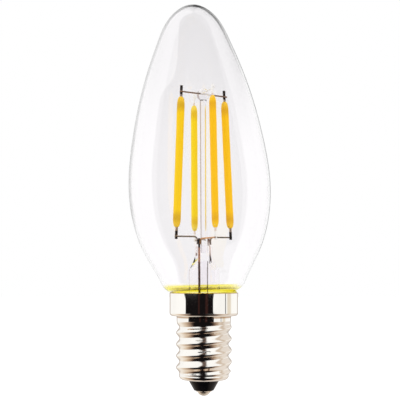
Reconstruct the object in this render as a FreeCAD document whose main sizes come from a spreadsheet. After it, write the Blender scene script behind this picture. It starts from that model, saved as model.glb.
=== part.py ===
import FreeCAD, Part
import Sketcher
import math
import os
from FreeCAD import Placement, Rotation, Vector

# Candle bulb with four LED filaments in clear glass, on a small screw cap.
# The origin is the tip of the centre contact.
# +Z runs up the axis of the cap to the pointed end of the glass.
# Lengths are in millimetres and angles in degrees.

SIZES = {
    # Blown glass envelope: outside radius of each station of its curve, and its rise above the one before.
    # The first rise is counted from the rim of the skirt.
    "glass_wall": 0.75,
    "glass_lean": 2.4,
    "glass_shift": 0.12,
    "neck_radius": 7.55,
    "neck_depth": 2.95,
    "neck_top_depth": 0.5,
    "bowl_radius": 9.0,
    "bowl_rise": 0.7,
    "cone_low_radius": 10.75,
    "cone_low_rise": 2.45,
    "cone_high_radius": 14.35,
    "cone_high_rise": 6.9,
    "belly_low_radius": 16.92,
    "belly_low_rise": 8.0,
    "belly_radius": 17.7,
    "belly_rise": 7.7,
    "belly_high_radius": 16.42,
    "belly_high_rise": 12.5,
    "taper_low_radius": 13.5,
    "taper_low_rise": 12.8,
    "taper_high_radius": 9.0,
    "taper_high_rise": 12.75,
    "nose_radius": 6.22,
    "nose_rise": 5.35,
    "apex_rise": 3.75,
    # Glass stem: flared tube sealed into the neck, pinched flat at its top
    "stem_lean": 0.3,
    "seal_rise": 0.9,
    "seal_gap": 0.05,
    "flare_wall": 0.8,
    "flare_radius": 3.78,
    "flare_tube_length": 4.83,
    "shoulder_length": 3.4,
    "pinch_length": 2.6,
    "pinch_width": 5.9,
    "pinch_depth": 2.7,
    "pinch_round": 0.7,
    "pinch_cavity_rise": 1.6,
    "exhaust_radius": 1.5,
    "exhaust_bore": 0.95,
    "exhaust_rise": 2.0,
    "exhaust_drop": 2.6,
    "rod_radius": 0.85,
    "rod_seat": 1.8,
    "bead_radius": 1.6,
    "bead_drop": 0.1,
    # Filaments: coated strips that lean in towards the top
    "filament_length": 32.4,
    "filament_width": 1.95,
    "filament_depth": 1.62,
    "filament_round": 0.75,
    "filament_foot_radius": 7.68,
    "filament_head_radius": 6.32,
    "filament_rise": 2.1,
    "front_left_lift": 0.15,
    "front_right_lift": -0.2,
    "back_right_lift": 0.2,
    "back_left_lift": -0.15,
    "strip_width": 1.0,
    "strip_depth": 0.4,
    "strip_overlap": 0.9,
    "clip_width": 1.36,
    "clip_depth": 0.9,
    "clip_sleeve": 1.3,
    "clip_cover": 0.5,
    "tab_width": 0.64,
    "tab_depth": 0.28,
    "tab_length": 2.9,
    # Wires
    "lead_radius": 0.27,
    "arm_radius": 0.2,
    "lead_circle": 2.25,
    "lead_angle": 238.0,
    "lead_rise": 1.7,
    "arm_rise": 2.1,
    "weld_length": 1.5,
    "weld_gap": 0.03,
    "wire_bend": 0.9,
    "lead_bend_drop": 0.5,
    "lead_board_rise": 0.6,
    "arm_foot_gap": 0.2,
    "top_wire_rise": 1.4,
    "top_wire_step": 0.5,
    "wire_past_tab": 0.55,
    # Screw cap rolled from thin sheet
    "sheet": 0.3,
    "cement_thickness": 0.65,
    "skirt_length": 5.7,
    "skirt_round": 0.75,
    "rim_chamfer": 0.1,
    "collar_radius": 6.72,
    "collar_length": 1.25,
    "seam_step": 0.03,
    "thread_crest_radius": 6.88,
    "thread_root_radius": 6.08,
    "thread_pitch": 2.822,
    "thread_length": 14.25,
    "first_crest_rise": 1.5,
    "thread_fade_low": 0.8,
    "thread_fade_high": 1.7,
    "base_height": 4.05,
    "base_corner": 0.9,
    "base_hole_radius": 3.9,
    # Insulator, centre contact and cement
    "insulator_low_radius": 2.43,
    "insulator_low_height": 1.4,
    "insulator_flange": 1.5,
    "insulator_bore": 1.0,
    "insulator_land": 0.09,
    "insulator_side_gap": 0.54,
    "fit_gap": 0.03,
    "contact_radius": 1.95,
    "contact_sheet": 0.25,
    "eyelet_wall": 0.2,
    "eyelet_length": 2.2,
    "solder_radius": 1.65,
    "cement_depth": 3.85,
    "cement_rise": 0.35,
    "cement_gap": 0.02,
    # Driver inside the cap
    "board_width": 9.4,
    "board_depth": 1.0,
    "board_rise": 4.15,
    "board_past_thread": 1.0,
    "capacitor_radius": 2.4,
    "capacitor_length": 8.5,
    "capacitor_rise": 0.4,
    "capacitor_chamfer": 0.35,
    "bridge_width": 3.9,
    "bridge_height": 4.4,
    "bridge_depth": 2.4,
    "bridge_drop": 4.3,
    "chip_width": 3.9,
    "chip_height": 3.2,
    "chip_depth": 1.5,
    "chip_rise": 2.4,
    "leg_width": 0.45,
    "leg_depth": 0.22,
    "leg_reach": 0.8,
    "resistor_radius": 0.85,
    "resistor_length": 3.6,
    "resistor_side": 4.0,
    "resistor_rise": 2.4,
    "resistor_chamfer": 0.3,
    "inner_wire_radius": 0.25,
    "inner_wire_bend": 0.7,
    "wire_foot_height": 0.6,
    "centre_wire_rise": 0.8,
    "centre_wire_slope": 0.9,
    "side_wire_drop": 0.7,
    "side_wire_foot": 1.6,
    "side_wire_inset": 1.2,
    "side_wire_angle": 150.0,
    "side_wire_climb": 0.4,
    "side_wire_weld": 1.0,
}

# Each filament's angle round the stem at its foot and its head, and the size that lifts it a little.
FILAMENTS = {
    "filament_front_left": {"foot": 209.4, "head": 209.7, "lift": "front_left_lift"},
    "filament_front_right": {"foot": 290.6, "head": 290.6, "lift": "front_right_lift"},
    "filament_back_right": {"foot": 28.8, "head": 29.6, "lift": "back_right_lift"},
    "filament_back_left": {"foot": 108.0, "head": 112.0, "lift": "back_left_lift"},
}
GLASS_STATIONS = (
    "bowl", "cone_low", "cone_high", "belly_low", "belly", "belly_high", "taper_low", "taper_high", "nose",
)
WAVE_COLUMNS = 24
WAVE_ROWS_PER_TURN = 8
ARC_SHARE = 0.45
TOLERANCE = 1e-3
UP = Vector(0, 0, 1)

doc = FreeCAD.newDocument("candle_bulb")
sheet = doc.addObject("Spreadsheet::Sheet", "Sizes")
for row, (name, value) in enumerate(SIZES.items(), start=1):
    sheet.set(f"A{row}", name)
    sheet.set(f"B{row}", str(value))
    sheet.setAlias(f"B{row}", name)
doc.recompute()


class Size:
    """A number read from the sheet, together with the expression that gives it."""

    def __init__(self, value, text):
        self.value = value
        self.text = text

    def combined(self, other, sign, value):
        text = other.text if isinstance(other, Size) else str(other)
        return Size(value, f"({self.text} {sign} {text})")

    def __add__(self, other):
        return self.combined(other, "+", self.value + number(other))

    def __sub__(self, other):
        return self.combined(other, "-", self.value - number(other))

    def __mul__(self, other):
        return self.combined(other, "*", self.value * number(other))

    def __truediv__(self, other):
        return self.combined(other, "/", self.value / number(other))

    def __neg__(self):
        return Size(-self.value, f"(-1 * {self.text})")


def number(size):
    return size.value if isinstance(size, Size) else size


def get(name):
    """The named size, for a bound sketch or primitive."""
    return Size(float(sheet.get(name)), f"Sizes.{name}")


def val(name):
    """The named size as a plain number, for shapes made in code."""
    return float(sheet.get(name))


def bind(obj, prop, size):
    obj.setExpression(prop, size.text)


nodes = []


def node(obj, label, placement=None):
    """Names an object as one piece of the bulb."""
    obj.Label = label
    if placement is not None:
        obj.Placement = placement
    nodes.append(obj)
    return obj


def shaped(label, shape, placement=None):
    feature = doc.addObject("Part::Feature", label)
    feature.Shape = shape
    return node(feature, label, placement)


def new_body(label):
    return doc.addObject("PartDesign::Body", label)


def new_sketch(body, role, name):
    sketch = body.newObject("Sketcher::SketchObject", name)
    plane = [f for f in body.Origin.OriginFeatures if f.Role == role][0]
    sketch.AttachmentSupport = [(plane, "")]
    sketch.MapMode = "FlatFace"
    return sketch


def fix_coordinate(sketch, kind, line, size):
    """Holds the start of a line at a distance from the sketch's origin."""
    constraint = Sketcher.Constraint(kind, -1, 1, line, 1, number(size))
    index = sketch.addConstraint(constraint)
    if isinstance(size, Size):
        sketch.setExpression(f"Constraints[{index}]", size.text)


def draw_outline(sketch, corners):
    """Closed outline of straight lines through corners given as pairs of sizes."""
    count = len(corners)
    points = [Vector(number(x), number(y), 0) for x, y in corners]
    for i in range(count):
        sketch.addGeometry(Part.LineSegment(points[i], points[(i + 1) % count]), False)
    for i in range(count):
        sketch.addConstraint(Sketcher.Constraint("Coincident", i, 2, (i + 1) % count, 1))
    for i, (x, y) in enumerate(corners):
        fix_coordinate(sketch, "DistanceX", i, x)
        fix_coordinate(sketch, "DistanceY", i, y)


def turned_body(label, corners):
    """Body turned about Z from an outline of radius and height pairs."""
    body = new_body(label)
    sketch = new_sketch(body, "XZ_Plane", label + "_section")
    draw_outline(sketch, corners)
    turn = body.newObject("PartDesign::Revolution", label + "_turn")
    turn.Profile = sketch
    turn.ReferenceAxis = (sketch, ["V_Axis"])
    turn.Angle = 360.0
    doc.recompute()
    return body


def polar(radius, angle, height):
    turn = math.radians(angle)
    return Vector(radius * math.cos(turn), radius * math.sin(turn), height)


def bent_wire(points, radius, bend):
    """Round wire along straight runs, with an arc at each corner between them."""
    edges = []
    start = points[0]
    for before, corner, after in zip(points, points[1:], points[2:]):
        into = (corner - before).normalize()
        out = (after - corner).normalize()
        half_turn = into.getAngle(out) / 2
        run = min((corner - before).Length, (after - corner).Length)
        cut = min(bend * math.tan(half_turn), ARC_SHARE * run)
        arc_radius = cut / math.tan(half_turn)
        bisector = (out - into).normalize()
        middle = corner + bisector * (arc_radius / math.cos(half_turn) - arc_radius)
        arc_start = corner - into * cut
        arc_end = corner + out * cut
        edges.append(Part.LineSegment(start, arc_start).toShape())
        edges.append(Part.Arc(arc_start, middle, arc_end).toShape())
        start = arc_end
    edges.append(Part.LineSegment(start, points[-1]).toShape())
    direction = (points[1] - points[0]).normalize()
    section = Part.Wire([Part.Circle(points[0], direction, radius).toShape()])
    return Part.Wire(edges).makePipeShell([section], True, True)


def stack(start, *names):
    """Heights counted up from a start, one for each named rise."""
    heights = []
    for name in names:
        start = start + get(name)
        heights.append(start)
    return heights


# Heights that several pieces share, each counted from the one below it.
collar_low, skirt_low, rim = stack(get("base_height"), "thread_length", "collar_length", "skirt_length")
neck_foot = rim - get("neck_depth")
neck_top = rim - get("neck_top_depth")
*station_heights, apex_height = stack(rim, *[name + "_rise" for name in GLASS_STATIONS], "apex_rise")
seal_height = neck_foot + get("seal_rise")
exhaust_tip = seal_height - get("exhaust_drop")
flare_rim = get("neck_radius") - get("glass_wall") - get("seal_gap") - get("flare_wall") / 2
flare_sweep = flare_rim - get("flare_radius")
throat = seal_height + get("flare_wall") / 2 + flare_sweep
skirt_radius = get("neck_radius") + get("cement_thickness") + get("sheet")
tube_top, pinch_low, pinch_top, arm_height, filament_foot, filament_head, top_wire_height = stack(
    throat, "flare_tube_length", "shoulder_length", "pinch_length", "arm_rise", "filament_rise",
    "filament_length", "top_wire_rise",
)
board_low = get("base_height") + get("board_rise")
board_top = collar_low + get("board_past_thread")

# The stem and all that it carries lean a little about the seal, and the envelope leans more.
seal = Vector(0, 0, seal_height.value)
shift = Vector(val("glass_shift"), 0, 0)
stem_frame = Placement(shift, Rotation(Vector(0, 1, 0), -val("stem_lean")), seal)
glass_frame = Placement(shift, Rotation(Vector(0, 1, 0), -val("glass_lean")), seal)


def glass_curve(stations, end):
    """Smooth meridian that leaves the neck straight up and meets the axis level."""
    points = stations + [end]
    distances = [0.0]
    for before, after in zip(points, points[1:]):
        distances.append(distances[-1] + (after - before).Length)
    curve = Part.BSplineCurve()
    curve.interpolate(
        Points=points, Parameters=distances, InitialTangent=UP, FinalTangent=Vector(-1, 0, 0), Scale=False,
    )
    return curve


def make_glass_envelope():
    """One blown shell: neck tube, bowl, belly, taper and rounded nose."""
    wall = val("glass_wall")
    outer_foot = Vector(val("neck_radius"), 0, neck_foot.value)
    outer_top = Vector(val("neck_radius"), 0, neck_top.value)
    apex = Vector(0, 0, apex_height.value)
    stations = [outer_top]
    for name, height in zip(GLASS_STATIONS, station_heights):
        stations.append(Vector(val(name + "_radius"), 0, height.value))
    outside = glass_curve(stations, apex)
    inner_stations = []
    for station in stations:
        tangent = outside.tangent(outside.parameter(station))[0]
        inner_stations.append(station + Vector(-tangent.z, 0, tangent.x) * wall)
    inner_apex = apex - UP * wall
    inside = glass_curve(inner_stations, inner_apex)
    inner_foot = outer_foot - Vector(wall, 0, 0)
    edges = [
        Part.LineSegment(outer_foot, outer_top).toShape(),
        outside.toShape(),
        Part.LineSegment(apex, inner_apex).toShape(),
        inside.toShape(),
        Part.LineSegment(inner_stations[0], inner_foot).toShape(),
        Part.LineSegment(inner_foot, outer_foot).toShape(),
    ]
    section = Part.Face(Part.Wire(Part.__sortEdges__(edges)))
    shaped("glass_envelope", section.revolve(Vector(), UP, 360), glass_frame)


def rounded_section(width, depth, height):
    """Section with straight long sides and half-round ends, in the XY plane at a height."""
    run = (width - depth) / 2
    low_left, low_right = Vector(-run, -depth / 2, height), Vector(run, -depth / 2, height)
    high_right, high_left = Vector(run, depth / 2, height), Vector(-run, depth / 2, height)
    return Part.Wire([
        Part.LineSegment(low_left, low_right).toShape(),
        Part.Arc(low_right, Vector(width / 2, 0, height), high_right).toShape(),
        Part.LineSegment(high_right, high_left).toShape(),
        Part.Arc(high_left, Vector(-width / 2, 0, height), low_left).toShape(),
    ])


def quartered_circle(radius, height):
    """Circle in four arcs whose ends face the corners of the rounded section above it."""
    arcs = []
    for angle in (225, 315, 45, 135):
        start, middle, end = (polar(radius, angle + turn, height) for turn in (0, 45, 90))
        arcs.append(Part.Arc(start, middle, end).toShape())
    return Part.Wire(arcs)


def lead_point(side, height):
    """Centre of a lead wire in the stem; side 0 is the front lead and side 1 the back one."""
    return polar(val("lead_circle"), val("lead_angle") + 180 * side, height)


def make_stem_flare():
    """Flared tube whose rounded rim sits in the neck, pinched flat round the wires and the rod."""
    wall = val("flare_wall")
    tube = val("flare_radius")
    sweep = flare_sweep.value
    top = tube_top.value
    centre = Vector(flare_rim.value, 0, throat.value)
    diagonal = math.sqrt(0.5)
    upper = [centre - Vector(sweep, 0, 0), centre - UP * sweep]
    lower = [centre - Vector(sweep + wall, 0, 0), centre - UP * (sweep + wall)]
    upper_middle = centre - Vector(diagonal, 0, diagonal) * sweep
    lower_middle = centre - Vector(diagonal, 0, diagonal) * (sweep + wall)
    rim_edge = Vector(flare_rim.value + wall / 2, 0, seal_height.value)
    edges = [
        Part.LineSegment(Vector(tube, 0, top), upper[0]).toShape(),
        Part.Arc(upper[0], upper_middle, upper[1]).toShape(),
        Part.Arc(upper[1], rim_edge, lower[1]).toShape(),
        Part.Arc(lower[1], lower_middle, lower[0]).toShape(),
        Part.LineSegment(lower[0], Vector(tube - wall, 0, top)).toShape(),
        Part.LineSegment(Vector(tube - wall, 0, top), Vector(tube, 0, top)).toShape(),
    ]
    flare = Part.Face(Part.Wire(edges)).revolve(Vector(), UP, 360)
    pinch = rounded_section(val("pinch_width"), val("pinch_depth"), pinch_low.value)
    shoulder = Part.makeLoft([quartered_circle(tube, top), pinch], True)
    block = Part.Face(pinch).extrude(UP * val("pinch_length"))
    top_edges = [e for e in block.Edges if e.BoundBox.ZMin > pinch_top.value - TOLERANCE]
    block = block.makeFillet(val("pinch_round"), top_edges)
    cavity = Part.makeCone(tube - wall, val("exhaust_radius"), val("pinch_cavity_rise"), Vector(0, 0, top))
    press = shoulder.fuse(block).cut(cavity)
    press.rotate(Vector(), UP, val("lead_angle"))
    stem = flare.fuse(press).removeSplitter()
    tip = exhaust_tip.value
    exhaust_length = top + val("exhaust_rise") - tip
    holes = [Part.makeCylinder(val("exhaust_radius"), exhaust_length, Vector(0, 0, tip))]
    rod_foot = Vector(0, 0, pinch_top.value - val("rod_seat"))
    holes.append(Part.makeCylinder(val("rod_radius"), val("rod_seat"), rod_foot))
    for side in (0, 1):
        length = pinch_top.value - top
        holes.append(Part.makeCylinder(val("lead_radius"), length, lead_point(side, top)))
    shaped("stem_flare", stem.cut(holes), stem_frame)


def make_exhaust_tube():
    """Thin tube up the middle of the flare, drawn off to a closed tip at the bottom."""
    tip = exhaust_tip.value
    radius = val("exhaust_radius")
    length = tube_top.value + val("exhaust_rise") - tip - radius
    outside = Part.makeCylinder(radius, length, Vector(0, 0, tip + radius))
    outside = outside.fuse(Part.makeSphere(radius, Vector(0, 0, tip + radius)))
    bore = val("exhaust_bore")
    inside = Part.makeCylinder(bore, length, Vector(0, 0, tip + radius))
    inside = inside.fuse(Part.makeSphere(bore, Vector(0, 0, tip + radius)))
    shaped("exhaust_tube", outside.removeSplitter().cut(inside.removeSplitter()), stem_frame)


def filament_axis(data):
    """Foot centre of a filament in the stem's frame, with its directions along, outward and across."""
    foot = polar(val("filament_foot_radius"), data["foot"], filament_foot.value + val(data["lift"]))
    head_height = foot.z + val("filament_length")
    head = polar(val("filament_head_radius"), data["head"], head_height)
    along = (head - foot).normalize()
    outward = polar(1.0, (data["foot"] + data["head"]) / 2, 0)
    across = along.cross(outward).normalize()
    return foot, along, across.cross(along).normalize(), across


def filament_frame(data):
    foot, along, outward, across = filament_axis(data)
    return stem_frame.multiply(Placement(foot, Rotation(outward, across, along, "ZXY")))


def rectangle(width, depth):
    x, y = width / 2, depth / 2
    return [(-x, -y), (x, -y), (x, y), (-x, y)]


def lift_sketch(sketch, size):
    sketch.setExpression("AttachmentOffset.Base.z", size.text)


def padded(body, corners, start, length):
    """Adds a block with the given outline to a body, from a height upwards."""
    index = len(body.Group)
    sketch = new_sketch(body, "XY_Plane", f"{body.Label}_outline_{index}")
    draw_outline(sketch, corners)
    if start is not None:
        lift_sketch(sketch, start)
    pad = body.newObject("PartDesign::Pad", f"{body.Label}_pad_{index}")
    pad.Profile = sketch
    bind(pad, "Length", length)
    doc.recompute()


def cut_through(body, corners, start, length):
    """Cuts a channel with the given outline up through a body."""
    index = len(body.Group)
    sketch = new_sketch(body, "XY_Plane", f"{body.Label}_channel_{index}")
    draw_outline(sketch, corners)
    if start is not None:
        lift_sketch(sketch, start)
    before = body.Shape.Volume
    pocket = body.newObject("PartDesign::Pocket", f"{body.Label}_pocket_{index}")
    pocket.Profile = sketch
    pocket.Reversed = True
    bind(pocket, "Length", length)
    doc.recompute()
    if not body.Shape.Volume < before:
        raise RuntimeError(body.Label + ": the channel cuts nothing")


def make_coated_rod(label, data):
    """Soft yellow coating with half-round sides and soft ends, cast round the strip."""
    body = new_body(label)
    body.Label = label
    sketch = new_sketch(body, "XY_Plane", label + "_section")
    width, depth = get("filament_width"), get("filament_depth")
    run = (width.value - depth.value) / 2
    half = depth.value / 2
    sketch.addGeometry(Part.LineSegment(Vector(-run, -half, 0), Vector(run, -half, 0)), False)
    right = Part.Circle(Vector(run, 0, 0), UP, half)
    sketch.addGeometry(Part.ArcOfCircle(right, -math.pi / 2, math.pi / 2), False)
    sketch.addGeometry(Part.LineSegment(Vector(run, half, 0), Vector(-run, half, 0)), False)
    left = Part.Circle(Vector(-run, 0, 0), UP, half)
    sketch.addGeometry(Part.ArcOfCircle(left, math.pi / 2, 3 * math.pi / 2), False)
    for line, line_end, arc, arc_end in ((0, 2, 1, 1), (2, 1, 1, 2), (2, 2, 3, 1), (0, 1, 3, 2)):
        sketch.addConstraint(Sketcher.Constraint("Tangent", line, line_end, arc, arc_end))
    sketch.addConstraint(Sketcher.Constraint("Horizontal", 0))
    sketch.addConstraint(Sketcher.Constraint("Symmetric", 1, 3, 3, 3, -1, 1))
    index = sketch.addConstraint(Sketcher.Constraint("Radius", 1, half))
    sketch.setExpression(f"Constraints[{index}]", (depth / 2).text)
    index = sketch.addConstraint(Sketcher.Constraint("DistanceX", 3, 3, 1, 3, 2 * run))
    sketch.setExpression(f"Constraints[{index}]", (width - depth).text)
    pad = body.newObject("PartDesign::Pad", label + "_pad")
    pad.Profile = sketch
    bind(pad, "Length", get("filament_length"))
    doc.recompute()
    ends = []
    for i, edge in enumerate(pad.Shape.Edges, start=1):
        if edge.BoundBox.ZLength < TOLERANCE:
            ends.append(f"Edge{i}")
    fillet = body.newObject("PartDesign::Fillet", label + "_ends")
    fillet.Base = (pad, ends)
    bind(fillet, "Radius", get("filament_round"))
    doc.recompute()
    length, cover, sleeve = get("filament_length"), get("clip_cover"), get("clip_sleeve")
    clip = rectangle(get("clip_width"), get("clip_depth"))
    cut_through(body, rectangle(get("tab_width"), get("tab_depth")), None, length)
    cut_through(body, rectangle(get("strip_width"), get("strip_depth")), cover, length - cover * 2)
    cut_through(body, clip, cover, sleeve)
    cut_through(body, clip, length - cover - sleeve, sleeve)
    node(body, label, filament_frame(data))


def make_strip(label, data):
    """Narrow strip that carries the diodes, with both ends held in the clips."""
    body = new_body(label)
    body.Label = label
    corners = rectangle(get("strip_width"), get("strip_depth"))
    start = get("clip_cover") + get("clip_sleeve") - get("strip_overlap")
    padded(body, corners, start, get("filament_length") - start * 2)
    node(body, label, filament_frame(data))


def make_clip(label, data, at_head):
    """End clip: a sleeve inside the coating, pressed round the strip, and a flat tab for the wire."""
    body = new_body(label)
    body.Label = label
    cover = get("clip_cover")
    sleeve = get("clip_sleeve")
    low = -(cover + sleeve)
    padded(body, rectangle(get("clip_width"), get("clip_depth")), low, sleeve)
    cut_through(body, rectangle(get("strip_width"), get("strip_depth")), low, get("strip_overlap"))
    padded(body, rectangle(get("tab_width"), get("tab_depth")), -cover, cover + get("tab_length"))
    start = val("filament_length") if at_head else 0.0
    flip = Rotation() if at_head else Rotation(Vector(1, 0, 0), 180)
    end = Placement(Vector(0, 0, start), flip)
    node(body, label, filament_frame(data).multiply(end))


def tab_contact(data, height, side):
    """Where a thin wire lies against a flat of a tab: side 1 is ahead of the tab's turn, -1 behind it."""
    foot, along, outward, across = filament_axis(data)
    centre = foot + along * ((height - foot.z) / along.z)
    offset = val("tab_depth") / 2 + val("arm_radius") + val("weld_gap")
    return centre + across * (side * offset), outward


def make_top_wire(label, first, second, height):
    """Straight wire between two filament heads, held in the bead on the rod."""
    start = tab_contact(first, height, 1)[0]
    end = tab_contact(second, height, -1)[0]
    along = (end - start).normalize()
    past = val("wire_past_tab")
    start = start - along * past
    length = (end - start).Length + past
    wire = Part.makeCylinder(val("arm_radius"), length, start, along)
    shaped(label, wire, stem_frame)
    return wire


def make_support_rod(wires):
    """Solid glass rod on the pinch, its top melted to a bead round the two top wires."""
    foot = pinch_top.value - val("rod_seat")
    bead_height = top_wire_height.value - val("bead_drop")
    rod = Part.makeCylinder(val("rod_radius"), bead_height - foot, Vector(0, 0, foot))
    bead = Part.makeSphere(val("bead_radius"), Vector(0, 0, bead_height))
    shaped("support_rod", rod.fuse(bead).removeSplitter().cut(wires), stem_frame)


def make_lead_wire(label, side):
    """Lead from the driver board up through the flare and the pinch."""
    sign = 2 * side - 1
    board_y = sign * (val("board_depth") / 2 + val("lead_radius") + val("weld_gap"))
    straight = lead_point(side, neck_foot.value - val("lead_bend_drop"))
    low = Vector(straight.x, board_y, board_top.value - val("weld_length"))
    turn_low = Vector(straight.x, board_y, board_top.value + val("lead_board_rise"))
    points = [low, turn_low, straight, lead_point(side, pinch_top.value + val("lead_rise"))]
    back = stem_frame.inverse()
    points[0] = back.multVec(Vector(low.x + val("glass_shift"), low.y, low.z))
    points[1] = back.multVec(Vector(turn_low.x + val("glass_shift"), turn_low.y, turn_low.z))
    shaped(label, bent_wire(points, val("lead_radius"), val("wire_bend")), stem_frame)


def make_foot_arm(label, data, lead_side, tab_side, drop):
    """Bent wire from a filament's foot tab to its lead, and down beside the lead where it is welded."""
    height = arm_height.value - drop
    touch, outward = tab_contact(data, height, tab_side)
    inward = Vector(-outward.x, -outward.y, 0).normalize()
    lead = lead_point(lead_side, height)
    towards = Vector(touch.x - lead.x, touch.y - lead.y, 0).normalize()
    beside = lead + towards * (val("lead_radius") + val("arm_radius") + val("weld_gap"))
    past = touch - inward * val("wire_past_tab")
    clear = touch + inward * (val("tab_width") / 2 + val("wire_past_tab"))
    down = Vector(beside.x, beside.y, pinch_top.value + val("arm_foot_gap"))
    shaped(label, bent_wire([past, clear, beside, down], val("arm_radius"), val("wire_bend")), stem_frame)


def make_filaments():
    for label, data in FILAMENTS.items():
        make_coated_rod(label, data)
        make_strip(label + "_strip", data)
        make_clip(label + "_head_clip", data, True)
        make_clip(label + "_foot_clip", data, False)


def make_wires():
    left, front, right, back = (FILAMENTS[name] for name in FILAMENTS)
    height = top_wire_height.value
    step = val("top_wire_step")
    first = make_top_wire("top_wire_left_right", left, right, height)
    second = make_top_wire("top_wire_front_back", front, back, height + step)
    make_support_rod([first, second])
    make_lead_wire("lead_wire_front", 0)
    make_lead_wire("lead_wire_back", 1)
    make_foot_arm("foot_arm_front_left", left, 0, 1, 0.0)
    make_foot_arm("foot_arm_front_right", front, 0, -1, step)
    make_foot_arm("foot_arm_back_right", right, 1, 1, 0.0)
    make_foot_arm("foot_arm_back_left", back, 1, -1, step)


def smooth(x):
    x = min(max(x, 0.0), 1.0)
    return x * x * (3 - 2 * x)


def cubic_reach(steps):
    """How far a uniform cubic curve reaches towards a ring of poles, as a share of the poles' radius."""
    return (2 + math.cos(2 * math.pi / steps)) / 3


def thread_radius(turn, height, low, high):
    """Outside radius of the rolled thread, which runs out to plain bands at both ends."""
    crest, root = val("thread_crest_radius"), val("thread_root_radius")
    first_crest = val("base_height") + val("first_crest_rise")
    phase = (height - first_crest) / val("thread_pitch") - turn
    swing = (crest - root) / 2 / cubic_reach(WAVE_ROWS_PER_TURN)
    threaded = (crest + root) / 2 + swing * math.cos(2 * math.pi * phase)
    rise = smooth((height - low) / val("thread_fade_low"))
    fall = smooth((high - height) / val("thread_fade_high"))
    plain_low = root * (1 - rise) + threaded * rise
    return val("collar_radius") * (1 - fall) + plain_low * fall


def wave_surface(inset, low, high):
    """Smooth closed surface of the thread, moved in by the inset."""
    spans = round((high - low) / val("thread_pitch") * WAVE_ROWS_PER_TURN)
    marks = [0, 1 / 3, *range(1, spans), spans - 1 / 3, spans]
    heights = [low + (high - low) * mark / spans for mark in marks]
    reach = cubic_reach(WAVE_COLUMNS)
    poles = []
    for i in range(WAVE_COLUMNS):
        turn = (i - 1) / WAVE_COLUMNS
        radii = [(thread_radius(turn, height, low, high) - inset) / reach for height in heights]
        poles.append([polar(radius, 360 * turn, height) for radius, height in zip(radii, heights)])
    surface = Part.BSplineSurface()
    surface.buildFromPolesMultsKnots(
        poles, [1] * (WAVE_COLUMNS + 1), [4] + [1] * (spans - 1) + [4],
        list(range(WAVE_COLUMNS + 1)), list(range(spans + 1)), True, False, 3, 3,
    )
    return surface


def end_ring(faces, height):
    """Flat ring that closes the space between two wave surfaces at one end."""
    wires = []
    for face in faces:
        level = [e for e in face.Edges if e.BoundBox.ZLength < TOLERANCE]
        wires.append(Part.Wire([e for e in level if abs(e.BoundBox.ZMax - height) < TOLERANCE]))
    return Part.makeFace(wires, "Part::FaceMakerBullseye")


def make_thread_tube(low, high):
    thin = val("sheet")
    faces = [wave_surface(0.0, low, high).toShape(), wave_surface(thin, low, high).toShape()]
    shell = Part.Shell(faces + [end_ring(faces, low), end_ring(faces, high)])
    shell.sewShape()
    return Part.Solid(shell)


def ring_section(points):
    """Solid turned about Z from radius and height pairs."""
    corners = [Vector(r, 0, z) for r, z in points]
    return Part.Face(Part.makePolygon(corners + corners[:1])).revolve(Vector(), UP, 360)


def ring_edges(shape, rings):
    """Circular edges that lie at the given radius and height pairs."""
    found = []
    for edge in shape.Edges:
        box = edge.BoundBox
        if box.ZLength > TOLERANCE:
            continue
        for radius, height in rings:
            if abs(box.XMax - radius) < TOLERANCE and abs(box.ZMax - height) < TOLERANCE:
                found.append(edge)
    return found


def make_cap_shell():
    """Rolled screw shell, all one sheet: turned-in base, round thread, plain collar and wide skirt."""
    thin = val("sheet")
    step = val("seam_step")
    collar = val("collar_radius") + step
    skirt = skirt_radius.value
    foot, low, top = collar_low.value, skirt_low.value, rim.value
    inside = collar - thin - 2 * step
    upper = ring_section([
        (inside, foot), (collar, foot), (collar, low), (skirt, low), (skirt, top),
        (skirt - thin, top), (skirt - thin, low + thin), (inside, low + thin),
    ])
    corner = val("skirt_round")
    upper = upper.makeFillet(corner, ring_edges(upper, [(skirt, low)]))
    upper = upper.makeFillet(corner - thin, ring_edges(upper, [(skirt - thin, low + thin)]))
    upper = upper.makeChamfer(val("rim_chamfer"), ring_edges(upper, [(skirt, top), (skirt - thin, top)]))
    base = val("base_height")
    bend = val("base_corner")
    wall = val("thread_root_radius") + step
    band = base + bend + thin
    bore = wall - thin - 2 * step
    lower = ring_section([
        (val("base_hole_radius"), base), (wall, base), (wall, band), (bore, band),
        (bore, base + thin), (val("base_hole_radius"), base + thin),
    ])
    lower = lower.makeFillet(bend, ring_edges(lower, [(wall, base)]))
    lower = lower.makeFillet(bend - thin, ring_edges(lower, [(bore, base + thin)]))
    tube = make_thread_tube(band, foot)
    shaped("cap_shell", tube.fuse([upper, lower]).removeSplitter())


def make_insulator():
    """Black glass cone that closes the cap, with a flange held above the turned-in base."""
    gap = get("fit_gap")
    base = get("base_height")
    hole = get("base_hole_radius") - gap
    seat = base + get("sheet") + gap
    flange = get("thread_root_radius") - get("sheet") - get("insulator_side_gap")
    top = seat + get("insulator_flange")
    bore = get("insulator_bore")
    body = turned_body("insulator", [
        (bore, get("insulator_low_height")), (get("insulator_low_radius"), get("insulator_low_height")),
        (hole, base - get("insulator_land")), (hole, seat), (flange, seat), (flange, top), (bore, top),
    ])
    node(body, "insulator")


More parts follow.
